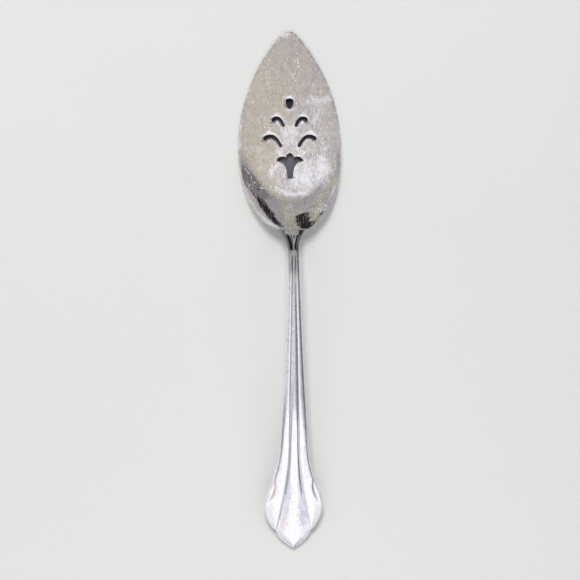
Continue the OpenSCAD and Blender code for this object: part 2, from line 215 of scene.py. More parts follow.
count = len(found)
x, y = found[:, 0], found[:, 1]
points = [np.stack([x, y, lift(x, y) + blade_t * stretch(x, y)], 1), np.stack([x, y, lift(x, y)], 1)]
polygons = sheet + [tuple(count + i for i in reversed(f)) for f in sheet]
total, start = 2 * count, 0
wall_faces = set()
for e, (loop, away, width, profile) in enumerate(edges):
    n = len(loop)
    rings = [[place[start + i] for i in range(n)]]
    for inward, height in profile[1:-1]:
        p = loop - away * (width * inward)[:, None]
        points.append(np.stack([p[:, 0], p[:, 1], lift(p[:, 0], p[:, 1])
                                + height * stretch(p[:, 0], p[:, 1])], 1))
        rings.append(list(range(total, total + n)))
        total += n
    rings.append([count + place[start + i] for i in range(n)])
    for r, (a, b) in enumerate(zip(rings, rings[1:])):
        for i in range(n):
            j = (i + 1) % n
            if e and r in upright:
                wall_faces.add(len(polygons))
            polygons.append((a[i], b[i], b[j], a[j]))
    start += n


def solid(name, points, polygons):
    """A smooth object from points in millimetres."""
    mesh = bpy.data.meshes.new(name)
    mesh.from_pydata((np.asarray(points) * MM).tolist(), [], polygons)
    mesh.validate()
    mesh.shade_smooth()
    thing = bpy.data.objects.new(name, mesh)
    bpy.context.scene.collection.objects.link(thing)
    return thing


blade = solid("blade_visual", np.vstack(points), polygons)
# The two faces are shaded by the exact slope of the dish, so that it mirrors without facets
normals = np.array([v.normal[:] for v in blade.data.vertices])
along_x, along_y = slopes(x, y)
up = np.stack([-along_x, -along_y, np.ones(count)], 1)
up /= np.linalg.norm(up, axis=1, keepdims=True)
used = np.zeros(count, bool)
used[np.unique(np.array(sheet))] = True
normals[:count][used] = up[used]
normals[count:2 * count][used] = -up[used]
blade.data.normals_split_custom_set_from_vertices(normals.tolist())


def add(tree, kind, **inputs):
    """A new node. set_NAME sets its own property, atN its Nth input, and other names the input of that
    name, with _ for a space. A socket is linked, and any other value is set."""
    node = tree.nodes.new(kind)
    for key, value in inputs.items():
        if key.startswith("set_"):
            setattr(node, key[4:], value)
            continue
        name = key.replace("_", " ")
        socket = node.inputs[int(name[2:])] if name.startswith("at") else node.inputs[name]
        if isinstance(value, bpy.types.NodeSocket):
            tree.links.new(value, socket)
        else:
            socket.default_value = value
    return node


def ramp(tree, value, *stops):
    """A colour or a grey that runs through the stops as the value rises."""
    node = add(tree, "ShaderNodeValToRGB", Fac=value)
    while len(node.color_ramp.elements) < len(stops):
        node.color_ramp.elements.new(0.5)
    for element, (place, level) in zip(node.color_ramp.elements, stops):
        element.position = place
        element.color = (level, level, level, 1) if isinstance(level, (int, float)) else (*level, 1)
    return node.outputs["Color"]


def calc(tree, operation, a, b=0.0):
    return add(tree, "ShaderNodeMath", set_operation=operation, at0=a, at1=b).outputs[0]


def times(tree, a, b):
    return calc(tree, "MULTIPLY", a, b)


def plus(tree, a, b):
    return calc(tree, "ADD", a, b)


def minus(tree, a, b):
    return calc(tree, "SUBTRACT", a, b)


def most(tree, a, b):
    return calc(tree, "MAXIMUM", a, b)


def blend(tree, share, a, b):
    """A mix of two colours, all of it b where the share is 1."""
    node = add(tree, "ShaderNodeMix", set_data_type="RGBA", at0=share)
    for socket, value in ((node.inputs[6], a), (node.inputs[7], b)):
        if isinstance(value, bpy.types.NodeSocket):
            tree.links.new(value, socket)
        else:
            socket.default_value = (*value, 1)
    return node.outputs[2]


def group(name, inputs, outputs):
    """An empty node group, with its nodes for what it is given and what results."""
    tree = bpy.data.node_groups.new(name, "ShaderNodeTree")
    for socket_name, kind, value in inputs:
        socket = tree.interface.new_socket(socket_name, in_out="INPUT", socket_type=kind)
        socket.default_value = value
    for socket_name, kind in outputs:
        tree.interface.new_socket(socket_name, in_out="OUTPUT", socket_type=kind)
    return tree, tree.nodes.new("NodeGroupInput"), tree.nodes.new("NodeGroupOutput")


def level(tree, value, low, high, start=0.0, end=1.0):
    """A value eased from start to end as the input goes from low to high."""
    node = add(tree, "ShaderNodeMapRange", set_interpolation_type="SMOOTHSTEP", Value=value)
    for key, number in (("From Min", low), ("From Max", high), ("To Min", start), ("To Max", end)):
        node.inputs[key].default_value = number
    return node.outputs["Result"]


def grain(tree, place_on, scale, angle=0, detail=3.0, roughness=0.6):
    """Noise stretched by a scale along each axis, after a turn in degrees."""
    turned = add(tree, "ShaderNodeMapping", Vector=place_on, Scale=scale,
                 Rotation=(0, 0, math.radians(angle)))
    return add(tree, "ShaderNodeTexNoise", Vector=turned.outputs[0], Scale=1.0, Detail=detail,
               Roughness=roughness).outputs[0]


def material(name):
    made = bpy.data.materials.new(name)
    made.use_nodes = True
    return made, made.node_tree, made.node_tree.nodes["Principled BSDF"]


def paint(thing, name, values):
    """Give each point of a mesh a value, which its material reads by name."""
    data = thing.data.attributes.new(name, "FLOAT", "POINT").data
    data.foreach_set("value", values.ravel().astype(np.float32))


def painted(tree, name):
    return add(tree, "ShaderNodeAttribute", set_attribute_name=name).outputs["Fac"]


# Hairline scratches in several directions, and small bright nicks in clusters, as masks
tree, given, result = group(
    "scratches", [("Amount", "NodeSocketFloat", 0.5), ("Nicks", "NodeSocketFloat", 0.5)],
    [("Scratch", "NodeSocketFloat"), ("Nick", "NodeSocketFloat"), ("Height", "NodeSocketFloat")])
scratch_group = tree
place_on = add(tree, "ShaderNodeTexCoord").outputs["Object"]
lines = None
for angle, across, along, edge in ((6, 2400, 130, 0.62), (-24, 2000, 150, 0.65), (67, 2200, 140, 0.66),
                                   (-78, 1800, 110, 0.66), (37, 2600, 170, 0.66)):
    noise = grain(tree, place_on, (across, along, along), angle, 2.0)
    line = level(tree, noise, edge, edge + 0.08)
    lines = line if lines is None else most(tree, lines, line)
dots = grain(tree, place_on, (1500, 1100, 1100), 15, 2.0, 0.5)
clusters = grain(tree, place_on, (150, 120, 120), 0, 3.0)
chance = times(tree, level(tree, clusters, 0.45, 0.7), given.outputs["Nicks"])
nick = level(tree, plus(tree, dots, times(tree, chance, 0.22)), 0.74, 0.82)
scratch = times(tree, lines, given.outputs["Amount"])
tree.links.new(scratch, result.inputs["Scratch"])
tree.links.new(nick, result.inputs["Nick"])
tree.links.new(plus(tree, scratch, nick), result.inputs["Height"])

# Colour of old silver plate: warm where it is tarnished, cool where it is freshly rubbed
tree, given, result = group(
    "silver_tone", [("Warm", "NodeSocketColor", (0.86, 0.82, 0.75, 1)),
                    ("Cool", "NodeSocketColor", (0.84, 0.83, 0.88, 1)),
                    ("Bias", "NodeSocketFloat", 0.0), ("Grit", "NodeSocketFloat", 1.0)],
    [("Color", "NodeSocketColor"), ("Cloud", "NodeSocketFloat"), ("Fine", "NodeSocketFloat")])
tone_group = tree
place_on = add(tree, "ShaderNodeTexCoord").outputs["Object"]
cloud = grain(tree, place_on, (45, 32, 38), 0, 4.0)
fine = grain(tree, place_on, (900, 500, 700), 8, 3.0)
share = level(tree, plus(tree, cloud, given.outputs["Bias"]), 0.36, 0.66)
tone = blend(tree, share, given.outputs["Warm"], given.outputs["Cool"])
tone = blend(tree, level(tree, fine, 0.4, 0.75, 0.0, 0.32), tone, (0.72, 0.69, 0.67))
grit = grain(tree, place_on, (1350, 950, 1100), 25, 3.0, 0.7)
blotch = grain(tree, place_on, (420, 300, 360), -12, 4.0, 0.65)
grit = plus(tree, grit, times(tree, minus(tree, blotch, 0.5), 0.7))
dark_grit = times(tree, level(tree, grit, 0.3, 0.5, 0.42, 0.0), given.outputs["Grit"])
pale_grit = times(tree, level(tree, grit, 0.52, 0.68, 0.0, 0.7), given.outputs["Grit"])
tone = blend(tree, dark_grit, tone, (0.5, 0.48, 0.46))
tone = blend(tree, pale_grit, tone, (1.0, 0.99, 0.98))
tree.links.new(tone, result.inputs["Color"])
tree.links.new(cloud, result.inputs["Cloud"])
tree.links.new(fine, result.inputs["Fine"])


def patch(tree, place_on, centre, reach, weight):
    """A soft mask round a place on the piece, in millimetres."""
    moved = add(tree, "ShaderNodeMapping", Vector=place_on, Scale=(1000 / reach[0], 1000 / reach[1], 0),
                Location=(-centre[0] / reach[0], -centre[1] / reach[1], 0)).outputs[0]
    far = add(tree, "ShaderNodeVectorMath", set_operation="LENGTH", at0=moved).outputs["Value"]
    return level(tree, far, 0.25, 1.3, weight, 0.0)


# Where the dish's wall, the bevelled rim and the surrounds of the holes are
every = np.vstack(points)
behind = np.maximum(0, widest_y - every[:, 1]) / back_reach
rim_share = ((np.abs(every[:, 0]) / half_w) ** fullness + behind ** fullness) ** (1 / fullness)
bevel_rings = 6
on_rim = np.zeros(len(every))
on_rim[2 * count:2 * count + bevel_rings * len(outline)] = 1
pierced = np.vstack(holes)
from_hole = np.array([np.min((pierced[:, 0] - px) ** 2 + (pierced[:, 1] - py) ** 2) for px, py in found])
halo_reach = 2.6
halo = np.zeros(len(every))
halo[:count] = np.exp(-from_hole / halo_reach ** 2)
paint(blade, "wall", smooth((rim_share - 0.52) / 0.22) * smooth(behind / 0.25))
paint(blade, "rim", on_rim)
paint(blade, "halo", halo)

plate, tree, shader = material("blade_silver_plate")
place_on = add(tree, "ShaderNodeTexCoord").outputs["Object"]
wall, rim = painted(tree, "wall"), painted(tree, "rim")
across, along, _ = add(tree, "ShaderNodeSeparateXYZ", Vector=place_on).outputs
tone = add(tree, "ShaderNodeGroup", set_node_tree=tone_group, Grit=1.15,
           Warm=(0.96, 0.915, 0.825, 1), Cool=(0.85, 0.83, 0.87, 1))
# The left half is tinted warmer and the right half cooler, a painted tint for the different reflections of
# the two halves
tree.links.new(level(tree, across, -0.02, 0.022, -0.1, 0.14), tone.inputs["Bias"])
marks = add(tree, "ShaderNodeGroup", set_node_tree=scratch_group, Amount=0.7, Nicks=0.9)
halo = times(tree, painted(tree, "halo"), level(tree, across, -0.016, 0.004, 0.5, 0.95))
wear_and_highlights = most(tree, times(tree, rim, 0.5), halo)
# Worn places as centre and reach in millimetres, and weight. The last five, on the metal just above the bud
# and each leaf, are painted highlights.
wear_and_highlight_places = [
    ((6, 57.6), (18, 11.4), 0.95), ((12, 75), (14.5, 32), 0.6), ((0, 77), (8, 11), 0.85),
    ((14.5, 60), (11, 13), 0.95), ((-13, 62), (8, 12), 0.5), ((6.3, 68.7), (3, 2.4), 1.0),
    ((-5.2, 69), (3, 2.4), 0.9), ((13, 95), (12, 4.2), 0.72), ((-2, 128.5), (5, 3), 0.85),
    ((-16, 70), (8, 4), 0.5), ((2, 108), (16, 16), 0.24), ((-14, 98), (7, 20), 0.34)]
wear_and_highlight_places += [(centre, (1.5, 1.2), 1.2) for centre in
                ((0, 96.6), (6.8, 87.9), (-6.8, 87.9), (10.6, 79.0), (-10.6, 79.0))]
for centre, reach, weight in wear_and_highlight_places:
    wear_and_highlights = most(tree, wear_and_highlights, patch(tree, place_on, centre, reach, weight))
# The wear is broken up along the strokes of cleaning, in blotches and in specks
uneven = None
for scale, angle, weight in (((2600, 330, 600), 3, 1.9), ((300, 260, 300), 0, 1.5),
                             ((2900, 2300, 2600), 20, 1.2)):
    part = times(tree, minus(tree, grain(tree, place_on, scale, angle, 4.0, 0.65), 0.5), weight)
    uneven = part if uneven is None else plus(tree, uneven, part)
haze_and_highlights = level(tree, plus(tree, wear_and_highlights, uneven), 0.22, 1.4)
# The haze of the dish's floor ends in a flaking border, and is rubbed off the steep wall
ragged = plus(tree, patch(tree, place_on, (3, 56.6), (18, 11.6), 1.0), times(tree, uneven, 0.45))
flake = times(tree, level(tree, ragged, 0.42, 0.5), level(tree, ragged, 0.75, 0.56))
flake = times(tree, flake, level(tree, grain(tree, place_on, (130, 130, 130), 30), 0.42, 0.58, 0.1, 1.0))
haze_and_highlights = most(tree, haze_and_highlights, times(tree, flake, level(tree, across, 0.018, 0.002, 0.2, 1.0)))
on_right = times(tree, level(tree, across, 0.006, 0.014), level(tree, along, 0.047, 0.057))
steep = times(tree, wall, level(tree, on_right, 0.0, 1.0, 1.0, 0.5))
haze_and_highlights = times(tree, haze_and_highlights, level(tree, steep, 0.1, 1.0, 1.0, 0.25))
# Long pale streaks that follow the dish's rim, partly rub marks and partly painted highlight lines
sideward = calc(tree, "DIVIDE", calc(tree, "ABSOLUTE", across), half_w * MM)
backward = calc(tree, "DIVIDE", minus(tree, widest_y * MM, along), back_reach * MM)
backward = most(tree, backward, 0.0)
out_to_rim = plus(tree, calc(tree, "POWER", sideward, fullness), calc(tree, "POWER", backward, fullness))
out_to_rim = calc(tree, "POWER", out_to_rim, 1 / fullness)
for at, width, sides, until in ((0.93, 0.008, (0.004, 0.008), 0.66), (0.958, 0.006, (0.004, 0.008), 0.6),
                                (0.968, 0.009, (-0.004, -0.008), 1.1)):
    off = calc(tree, "ABSOLUTE", minus(tree, out_to_rim, at))
    mark = times(tree, level(tree, off, width, 0.2 * width), level(tree, across, *sides))
    mark = times(tree, mark, level(tree, backward, 0.3, 0.45, 0.0, 0.8))
    mark = times(tree, mark, level(tree, backward, until, until - 0.1))
    mark = times(tree, mark, level(tree, tone.outputs["Fine"], 0.38, 0.52, 0.35, 1.0))
    haze_and_highlights = most(tree, haze_and_highlights, mark)
bloom = blend(tree, level(tree, tone.outputs["Fine"], 0.4, 0.62), (0.84, 0.83, 0.94), (0.97, 0.97, 1.0))
colour = blend(tree, haze_and_highlights, tone.outputs["Color"], bloom)
colour = blend(tree, marks.outputs["Nick"], colour, (0.95, 0.94, 0.93))
tree.links.new(colour, shader.inputs["Base Color"])
dull = most(tree, level(tree, haze_and_highlights, 0.0, 1.0, 0.0, 0.95), times(tree, marks.outputs["Nick"], 0.8))
faint = times(tree, marks.outputs["Scratch"], level(tree, wall, 0.3, 0.8, 1.0, 0.25))
dull = most(tree, dull, times(tree, faint, 0.3))
tree.links.new(minus(tree, 1.0, dull), shader.inputs["Metallic"])
rough = plus(tree, times(tree, tone.outputs["Cloud"], 0.16), 0.1)
rough = times(tree, rough, level(tree, wall, 0.0, 0.8, 1.0, 0.35))
rough = plus(tree, rough, times(tree, haze_and_highlights, 0.2))
rough = plus(tree, rough, times(tree, faint, 0.1))
tree.links.new(rough, shader.inputs["Roughness"])
bump = add(tree, "ShaderNodeBump", Strength=0.3, Distance=0.00003, Height=marks.outputs["Height"])
tree.links.new(bump.outputs["Normal"], shader.inputs["Normal"])

# The cut walls of the piercing are never polished, and have gone dark
cut, tree, shader = material("pierced_edge")
place_on = add(tree, "ShaderNodeTexCoord").outputs["Object"]
noise = add(tree, "ShaderNodeTexNoise", Vector=place_on, Scale=900.0, Detail=4.0).outputs[0]
tree.links.new(blend(tree, noise, (0.05, 0.05, 0.06), (0.16, 0.15, 0.16)), shader.inputs["Base Color"])
tree.links.new(ramp(tree, noise, (0.3, 0.45), (0.7, 0.7)), shader.inputs["Roughness"])
shader.inputs["Metallic"].default_value = 0.6

blade.data.materials.append(plate)
blade.data.materials.append(cut)
for i, polygon in enumerate(blade.data.polygons):
    polygon.material_index = 1 if i in wall_faces else 0
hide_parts("blade")
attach(blade, "root")

# Handle. A bar of nickel silver struck in dies: a round middle reed between two grooves, a side reed on
# each side, bevelled ears and a pointed end. Its front is a thin tongue that laps under the blade.
tongue_half, lap_l, tongue_t, tongue_tip_t, braze_t, heel_step = 5.0, 8.0, 1.6, 0.6, 0.2, 0.25
stem_half, neck_l, neck_r, stem_t, end_t = 3.15, 12.0, 45.0, 4.0, 2.2
flare_half, flare_l, shield_half, shield_from_end = 6.9, 38.0, 14.75, 22
cusp_half, point_l, ear_l, bead_h = 8.8, 9, 13, 0.17
reed_thin, reed_wide, groove_d, back_hollow = 0.75, 2.2, 0.6, 0.35
flute_start, flute_l, flute_half, flute_d, flute_gap = 1.1, 10, 1.1, 0.55, 0.44
shield_at, cusp_at = handle_l - shield_from_end, handle_l - point_l
flare_at, ear_at = shield_at - flare_l, shield_at - ear_l
seam_stretch = float(stretch(np.array(0.0), np.array(seam_y)))
seam_lift = float(lift(np.array(0.0), np.array(seam_y)))
tongue_drop = tongue_t * seam_stretch
back_start = seam_lift - braze_t - tongue_drop - heel_step
neck_angle = math.acos(1 / seam_stretch)
crest_at = neck_r * math.sin(neck_angle)
crest_z = back_start + neck_r * (1 - math.cos(neck_angle))
bow_l = handle_l - crest_at
bow_r = (bow_l ** 2 + crest_z ** 2) / (2 * crest_z)
seam_t = (seam_lift + blade_t * seam_stretch - back_start) / seam_stretch


def mix(a, b, s):
    return a + (b - a) * s


def tilt_sine(along):
    """How far the arch leans, at a distance in millimetres behind the seam."""
    return math.sin(neck_angle) - along / neck_r if along < crest_at else (along - crest_at) / bow_r


def back_z(along):
    cosine = math.sqrt(1 - tilt_sine(along) ** 2)
    if along < crest_at:
        return back_start + neck_r * (cosine - math.cos(neck_angle))
    return crest_z - bow_r * (1 - cosine)


def top_z(along):
    thick = (mix(seam_t, stem_t, smooth(along / neck_l)) if along < neck_l
             else mix(stem_t, end_t, smooth((along - neck_l) / (handle_l - neck_l))))
    return back_z(along) + thick / math.sqrt(1 - tilt_sine(along) ** 2)


def handle_half(along):
    if along < neck_l:
        return mix(seam_half, stem_half, 1 - (1 - along / neck_l) ** 3)
    if along < flare_at:
        return mix(stem_half, flare_half, ((along - neck_l) / (flare_at - neck_l)) ** 1.75)
    if along < shield_at:
        s = (along - flare_at) / flare_l
        return mix(flare_half, shield_half, mix(smooth(s ** 1.8), s, 0.3))
    if along < cusp_at:
        return mix(cusp_half, shield_half, (1 - ((along - shield_at) / (cusp_at - shield_at)) ** 2) ** 0.75)
    return cusp_half * (1 - (0.985 * (along - cusp_at) / point_l) ** 1.7) ** 0.9


def reed_half(along):
    if along < flare_at:
        return mix(reed_thin, reed_wide, max(0, along - neck_l) / (flare_at - neck_l))
    if along < cusp_at:
        return mix(reed_wide, cusp_half, ((along - flare_at) / (cusp_at - flare_at)) ** 2.5)
    return handle_half(along)


def swell(start, length, along):
    """A value that rises from 0 to 1 and falls again over a length."""
    return math.sin(math.pi * min(1, max(0, (along - start) / length)))


def border(along):
    return mix(0.9, 1.3, smooth((along - flare_at) / flare_l)) + 1.8 * swell(ear_at, ear_l, along)


def reeding(x, half, reed, crown):
    """Height of the middle reed and of the side reeds, below the middle reed's crown."""
    v = np.clip((np.abs(x) - reed) / max(1e-6, half - reed), 0, 1)
    side_reed = 0.4 * v ** 0.6 * (1 - v) / (0.375 ** 0.6 * 0.625) - 0.45 * v * v - groove_d
    return np.where(np.abs(x) <= reed, -groove_d * np.abs(x / reed) ** crown, side_reed)


def flute_at(along):
    return reed_thin + flute_gap + 0.9 * (handle_half(along) - stem_half)


def handle_top(x, along):
    half = handle_half(along)
    at_seam = np.minimum(seam_half, np.abs(x))
    line = np.full_like(at_seam, seam_y)
    dished = lift(at_seam, line) - seam_lift + blade_t * (stretch(at_seam, line) - seam_stretch)
    crown = np.interp(along, [85, 100, 118, 130, 140, handle_l], [2, 4.5, 4.5, 2.8, 2, 1.8])
    reeded = reeding(x, half, min(reed_half(along), half - 0.45), crown)
    t = np.minimum(1, np.abs(np.abs(x) - flute_at(along)) / flute_half)
    flute = flute_d * np.cos(math.pi / 2 * t) ** 2 * swell(flute_start, flute_l, along)
    return top_z(along) - flute + mix(dished, reeded, smooth(along / neck_l))


def handle_back(x, along):
    at_seam = np.minimum(seam_half, np.abs(x))
    dished = lift(at_seam, np.full_like(at_seam, seam_y)) - seam_lift
    return back_z(along) + mix(dished, back_hollow * (x / handle_half(along)) ** 2, smooth(along / neck_l))


reed_places = np.linspace(0, 1, 15)[1:]
side_places = np.array([0.03, 0.08, 0.16, 0.26, 0.38, 0.5, 0.62, 0.74, 0.86, 0.95, 1.0])
round_places = np.linspace(0, math.pi / 2, 9)[1:]


def handle_ring(along):
    """One section of the handle, from the face round the right edge, the back and the left edge."""
    half = handle_half(along)
    edge = min(border(along), half / 2)
    inner = half - edge
    reed = min(reed_half(along), inner - 0.09)
    right = np.concatenate([reed * reed_places, reed + (inner - reed) * side_places])
    across = np.concatenate([-right[::-1], [0], right])
    upper, lower = handle_top(across, along), handle_back(across, along)
    ear = swell(ear_at, ear_l, along)
    middle = (upper[-1] + lower[-1]) / 2
    high, low = upper[-1] - middle, middle - lower[-1]
    upper -= bead_h * ear * smooth((np.abs(across) / inner - 0.9) / 0.1)
    power = 2 / mix(2.2, 3.4, ear)
    curve_x, fall = inner + edge * np.sin(round_places) ** power, np.cos(round_places) ** power
    bead = bead_h * ear * np.sin(math.pi * np.sin(round_places) ** (power * 0.85))
    right_side = np.stack([np.concatenate([curve_x, curve_x[-2::-1]]),
                           np.concatenate([middle + high * fall + bead, middle - low * fall[-2::-1]])], 1)
    left_side = (right_side * [-1, 1])[::-1]
    face, back = np.stack([across, upper], 1), np.stack([across, lower], 1)[::-1]
    ring = np.vstack([face, right_side, back, left_side])
    return np.stack([ring[:, 0], np.full(len(ring), seam_y - along), ring[:, 1]], 1)


stations = np.concatenate([
    np.linspace(0, neck_l, 40, endpoint=False), np.linspace(neck_l, flare_at, 90, endpoint=False),
    np.linspace(flare_at, shield_at, 60, endpoint=False),
    shield_at + (cusp_at - shield_at) * np.sin(np.linspace(0, math.pi / 2, 40)),
    np.linspace(cusp_at, handle_l, 36)[1:]])
body_rings = [handle_ring(along) for along in stations]
ring_size = len(body_rings[0])
top_count = len(reed_places) * 2 + len(side_places) * 2 + 1
side_count = (ring_size - 2 * top_count) // 2
across = np.linspace(-tongue_half, tongue_half, top_count)
lap_places = np.linspace(seam_y + lap_l, seam_y, 26)
tongue_rings = []
for y in lap_places:
    depth = mix(tongue_drop, tongue_tip_t, (y - seam_y) / lap_l)
    line = np.full(top_count, y)
    upper = np.stack([across, line, lift(across, line) - braze_t], 1)
    lower = (upper - [0, 0, depth])[::-1]
    right_side = np.linspace(upper[-1], lower[0], side_count + 2)[1:-1]
    left_side = np.linspace(lower[-1], upper[0], side_count + 2)[1:-1]
    tongue_rings.append(np.vstack([upper, right_side, lower, left_side]))


def loft(name, rings):
    """A closed object through rings of equal size, with both ends capped."""
    size = len(rings[0])
    polygons = []
    for i in range(len(rings) - 1):
        for j in range(size):
            a, b = i * size + j, i * size + (j + 1) % size
            polygons.append((a, a + size, b + size, b))
    last = (len(rings) - 1) * size
    polygons.append(tuple(range(size)))
    polygons.append(tuple(last + j for j in reversed(range(size))))
    lofted = solid(name, np.vstack(rings), polygons)
    lofted.data.set_sharp_from_angle(angle=math.radians(48))
    return lofted


handle = loft("handle_visual", tongue_rings + body_rings)
# Tarnish lies in the flutes, the grooves and the line inside the border, less of it on the stem's left, and
# painted shade darkens the neck's sides. The crests of the side reeds, the ears and the stem's edges carry
# painted highlights in pale, dull colour. All places are in millimetres, along from the seam or across from
# the middle.
tarnish_and_edge_shade = np.zeros((len(tongue_rings) + len(body_rings), ring_size))
painted_highlight = np.zeros_like(tarnish_and_edge_shade)
for row, along in enumerate(stations):
    x = body_rings[row][:top_count, 0]
    far, half, reed = np.abs(x), handle_half(along), reed_half(along)
    flute_w, flute_x = np.where(x < 0, 1.2, 0.7), flute_at(along) - np.where(x < 0, 0.3, 0)
    in_flute = np.exp(-((far - flute_x) / flute_w) ** 4) * smooth(swell(flute_start, flute_l, along) / 0.6)
    dark = 0.5 + 0.3 * smooth((28 - along) / 10) - 0.42 * smooth((along - 90) / 14)
    dark = dark * np.where(x < 0, mix(1, 0.45, smooth((along - 22) / 20)), 1)
    in_groove = dark * np.exp(-((far - reed) / 0.28) ** 2) * smooth((along - 8) / 8)
    # Painted shade: the neck's sides are darkened near the seam, to draw dark edge lines
    side_shade = 0.6 * smooth((22 - along) / 16)
    left_line = mix(0.4, 0.66, smooth((along - 80) / 20))
    right_line = mix(0.9, 0.68, smooth((along - 85) / 20))
    lined = np.maximum(np.where(x < 0, left_line, right_line), 0.65 * smooth((14 - along) / 8))
    line_w = mix(0.4, 0.75, smooth((along - 90) / 15))
    by_border = lined * np.exp(-((far - far[-1]) / line_w) ** 2)
    by_border = by_border * smooth((along + 1) / 4) * smooth((139 - along) / 5)
    ring = len(tongue_rings) + row
    tarnish_and_edge_shade[ring] = side_shade
    tarnish_and_edge_shade[ring, :top_count] = np.maximum(np.maximum(in_flute, in_groove), by_border)
    # Painted highlights along the side reeds' crests and the stem's edges, and on the lobes
    line = np.exp(-(((far - reed) / max(0.1, half - reed) - np.where(x < 0, 0.31, 0.14)) / 0.1) ** 2)
    on_stem = smooth((along - 16) / 10)
    on_lobe = smooth((far / half - 0.45) / 0.3) * smooth((along - 128) / 10) * smooth((cusp_at - along) / 5)
    painted_highlight[ring, :top_count] = np.maximum(line * on_stem * smooth((112 - along) / 25), 0.75 * on_lobe)
    painted_highlight[ring, top_count + 2:top_count + side_count // 2] = 0.6 * on_stem
    painted_highlight[ring, -(side_count // 2):-2] = 0.6 * on_stem
paint(handle, "tarnish_and_edge_shade", tarnish_and_edge_shade)
paint(handle, "painted_highlight", painted_highlight)

struck, tree, shader = material("handle_silver_plate")
tone = add(tree, "ShaderNodeGroup", set_node_tree=tone_group,
           Warm=(0.91, 0.91, 0.95, 1), Cool=(0.9, 0.9, 0.96, 1))
place_on = add(tree, "ShaderNodeTexCoord").outputs["Object"]
toward_tip = add(tree, "ShaderNodeSeparateXYZ", Vector=place_on).outputs[1]
tree.links.new(level(tree, toward_tip, -0.07, -0.045, 0.35, 1.0), tone.inputs["Grit"])
marks = add(tree, "ShaderNodeGroup", set_node_tree=scratch_group, Amount=0.5, Nicks=0.35)
tarnish_and_edge_shade = painted(tree, "tarnish_and_edge_shade")
# Dark tarnish in the flutes and grooves, and painted shade on the neck's sides
tarnish_and_shade = plus(tree, tarnish_and_edge_shade, times(tree, minus(tree, tone.outputs["Fine"], 0.5), 0.5))
tarnish_and_shade = times(tree, tarnish_and_edge_shade, level(tree, tarnish_and_shade, 0.15, 0.6))
colour = blend(tree, tarnish_and_shade, tone.outputs["Color"], (0.035, 0.036, 0.033))
# Painted highlights: pale, dull colour on the crests, the stem's edges and the lobes
painted_highlight = times(tree, painted(tree, "painted_highlight"), level(tree, tone.outputs["Fine"], 0.3, 0.6, 0.85, 1.0))
colour = blend(tree, painted_highlight, colour, (0.97, 0.965, 0.985))
speckle = grain(tree, place_on, (1900, 1100, 1500), 12, 2.0)
broken = level(tree, plus(tree, speckle, tone.outputs["Fine"]), 0.8, 1.15, 0.35, 1.0)
# Painted reflections: lavender and pink patches on the plate, as centre and reach in millimetres, weight
# and colour
painted_reflections = (
    ((-2.3, -102), (2.0, 6), 0.8, (0.68, 0.67, 0.78)), ((-4.6, -113), (3, 8), 0.75, (0.7, 0.68, 0.76)),
    ((4.6, -113), (3.2, 9), 1.0, (0.62, 0.61, 0.74)), ((-9.2, -100), (3, 6), 0.7, (0.88, 0.76, 0.79)),
    ((-5.4, -117), (2.4, 6), 0.75, (0.86, 0.74, 0.77)), ((5.6, -84), (1.0, 12), 0.7, (0.68, 0.67, 0.76)),
    ((-6.6, -90), (1.0, 9), 0.6, (0.74, 0.77, 0.8)), ((-5.1, -43), (1.3, 12), 0.6, (0.86, 0.74, 0.78)))
painted_light = painted_highlight
for centre, reach, weight, shade in painted_reflections:
    cloud = times(tree, patch(tree, place_on, centre, reach, weight), broken)
    colour = blend(tree, cloud, colour, shade)
    painted_light = most(tree, painted_light, cloud)
tree.links.new(colour, shader.inputs["Base Color"])
tree.links.new(level(tree, painted_light, 0.0, 1.0, 1.0, 0.15), shader.inputs["Metallic"])
rough = plus(tree, times(tree, tone.outputs["Cloud"], 0.08), 0.04)
rough = plus(tree, rough, times(tree, marks.outputs["Scratch"], 0.15))
rough = plus(tree, rough, times(tree, tarnish_and_shade, 0.25))
tree.links.new(rough, shader.inputs["Roughness"])
relief = plus(tree, marks.outputs["Height"], times(tree, speckle, 0.9))
bump = add(tree, "ShaderNodeBump", Strength=0.35, Distance=0.00004, Height=relief)
tree.links.new(bump.outputs["Normal"], shader.inputs["Normal"])
handle.data.materials.append(struck)
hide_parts("handle")
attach(handle, "root")

# Braze. The layer of silver brazing alloy drawn between the tongue and the blade's heel, which shows as a
# pale line round the tongue underneath.
braze_rings = []
for y in lap_places:
    line = np.full(top_count, y)
    upper = np.stack([across, line, lift(across, line)], 1)
    braze_rings.append(np.vstack([upper, (upper - [0, 0, braze_t])[::-1]]))
braze = loft("braze_visual", braze_rings)
alloy, tree, shader = material("braze_alloy")
tone = add(tree, "ShaderNodeGroup", set_node_tree=tone_group,
           Warm=(0.72, 0.66, 0.55, 1), Cool=(0.66, 0.63, 0.6, 1))
tree.links.new(tone.outputs["Color"], shader.inputs["Base Color"])
shader.inputs["Metallic"].default_value = 1.0
tree.links.new(plus(tree, times(tree, tone.outputs["Cloud"], 0.3), 0.25), shader.inputs["Roughness"])
braze.data.materials.append(alloy)
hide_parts("braze")
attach(braze, "root")

